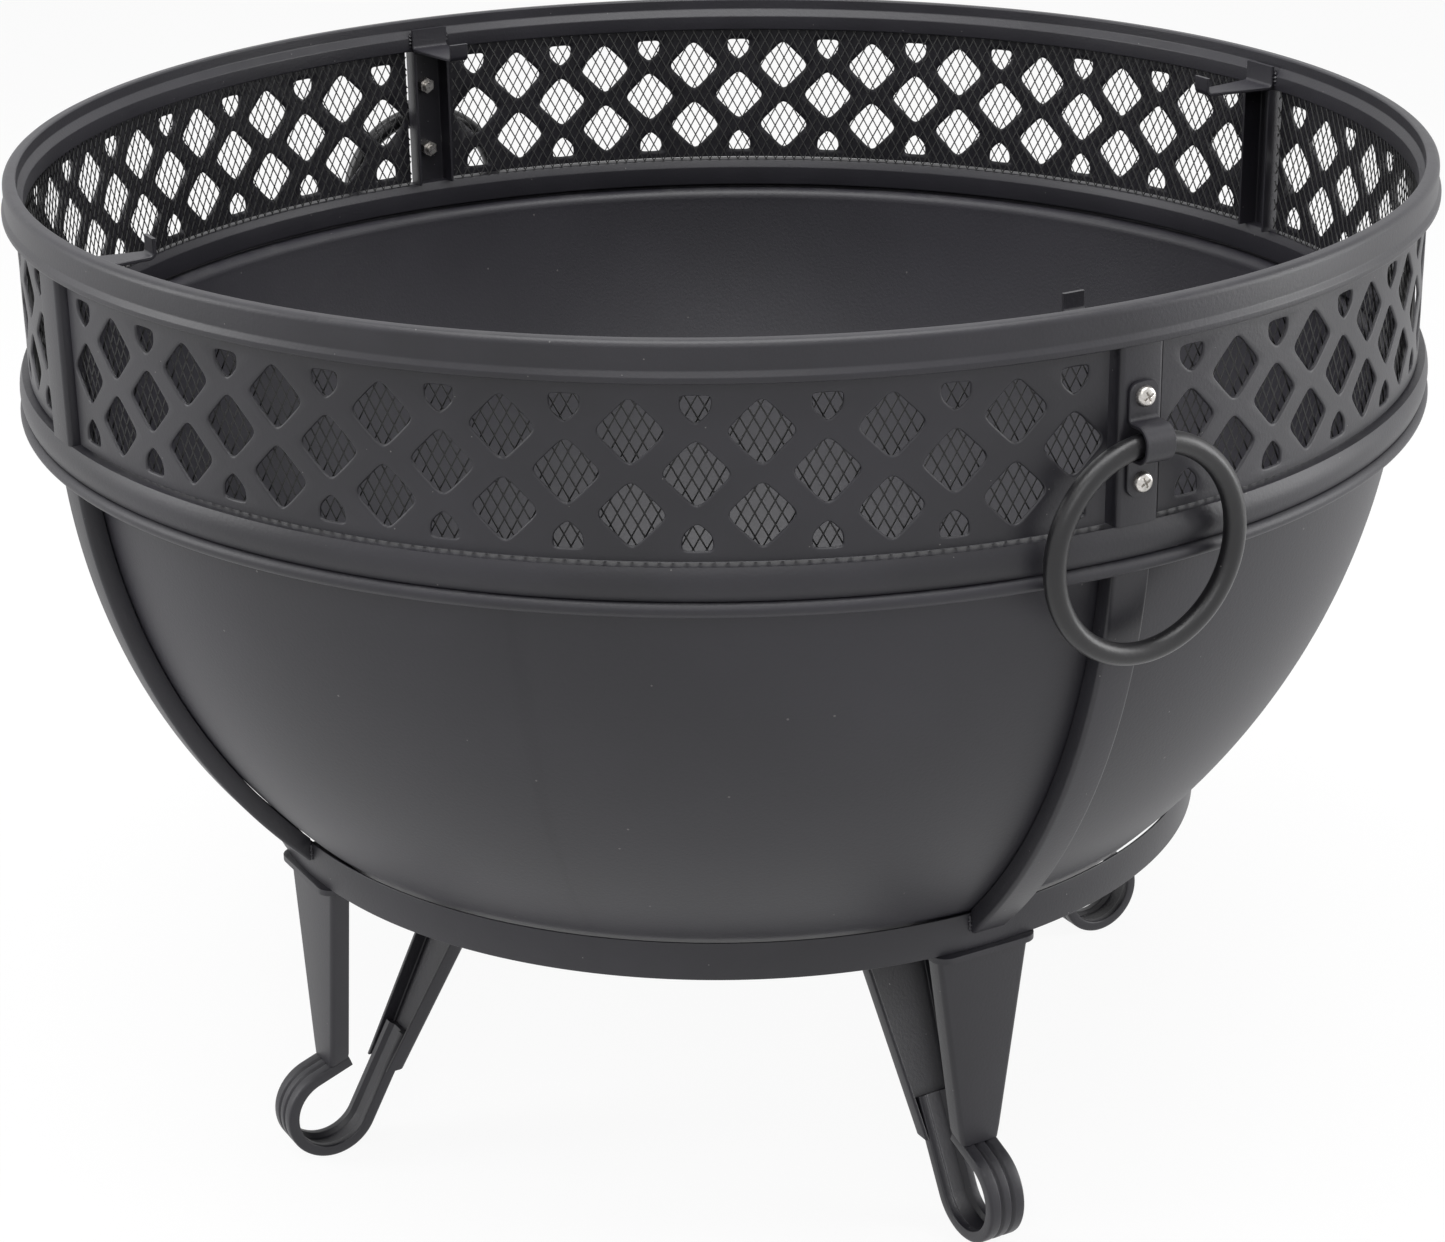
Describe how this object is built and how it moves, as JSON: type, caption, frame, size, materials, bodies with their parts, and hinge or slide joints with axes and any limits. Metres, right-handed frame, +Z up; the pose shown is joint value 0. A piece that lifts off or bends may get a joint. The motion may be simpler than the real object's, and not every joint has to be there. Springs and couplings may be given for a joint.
{
  "type": "fire pit",
  "caption": "Round steel fire pit: deep bowl under a band of lattice windows with spark mesh, looped scroll legs, hanging ring handles, inner grate tabs and a low log grate.",
  "frame": {"origin": "on the floor under the axis of the bowl, at the centre of the bounding box's bottom", "axes": "+Z up; +X towards one ring handle, the other is on -X; posts, ribs and legs lie on X and Y"},
  "size_m": [0.7384, 0.711, 0.508],
  "materials": {
    "frame_paint": "satin black high-temperature paint",
    "bowl_paint": "satin black high-temperature paint",
    "strap_paint": "satin black high-temperature paint",
    "handle_paint": "satin black, slightly glossier",
    "screen": "matte black expanded steel",
    "zinc": "bright zinc plate",
    "grate_iron": "matte black"
  },
  "bodies": {
    "frame": {"top_rim_ring": "frame_paint", "lower_ring": "frame_paint", "bowl": "bowl_paint", "base_ring": "frame_paint", "lattice_panel_back_right": "frame_paint", "lattice_panel_back_left": "frame_paint", "lattice_panel_front_left": "frame_paint", "lattice_panel_front_right": "frame_paint", "spark_mesh_back_right": "screen", "spark_mesh_back_left": "screen", "spark_mesh_front_left": "screen", "spark_mesh_front_right": "screen", "post_right": "frame_paint", "grate_tab_right": "frame_paint", "bowl_rib_right": "frame_paint", "leg_plate_right": "frame_paint", "leg_outer_right": "frame_paint", "leg_inner_right": "frame_paint", "leg_scroll_right": "frame_paint", "post_back": "frame_paint", "grate_tab_back": "frame_paint", "bowl_rib_back": "frame_paint", "leg_plate_back": "frame_paint", "leg_outer_back": "frame_paint", "leg_inner_back": "frame_paint", "leg_scroll_back": "frame_paint", "post_left": "frame_paint", "grate_tab_left": "frame_paint", "bowl_rib_left": "frame_paint", "leg_plate_left": "frame_paint", "leg_outer_left": "frame_paint", "leg_inner_left": "frame_paint", "leg_scroll_left": "frame_paint", "post_front": "frame_paint", "grate_tab_front": "frame_paint", "bowl_rib_front": "frame_paint", "leg_plate_front": "frame_paint", "leg_outer_front": "frame_paint", "leg_inner_front": "frame_paint", "leg_scroll_front": "frame_paint", "handle_strap_right": "strap_paint", "handle_screws_right": "zinc", "handle_nuts_right": "zinc", "handle_strap_left": "strap_paint", "handle_screws_left": "zinc", "handle_nuts_left": "zinc"},
    "right_handle": {"ring_handle_right": "handle_paint"},
    "left_handle": {"ring_handle_left": "handle_paint"},
    "log_grate": {"log_grate_ring": "grate_iron", "log_grate_bars": "grate_iron", "log_grate_feet": "grate_iron"}
  },
  "joints": [
    {"name": "right_handle_swing", "type": "hinge", "parent": "frame", "child": "right_handle", "pos_m": [0.3606, 0, 0.4484], "axis": [0, -1, 0], "range_deg": [0, 170]},
    {"name": "left_handle_swing", "type": "hinge", "parent": "frame", "child": "left_handle", "pos_m": [-0.3606, 0, 0.4484], "axis": [0, 1, 0], "range_deg": [0, 170]},
    {"name": "log_grate_lift", "type": "slide", "parent": "frame", "child": "log_grate", "axis": [0, 0, 1], "range_m": [0, 0.35]}
  ]
}
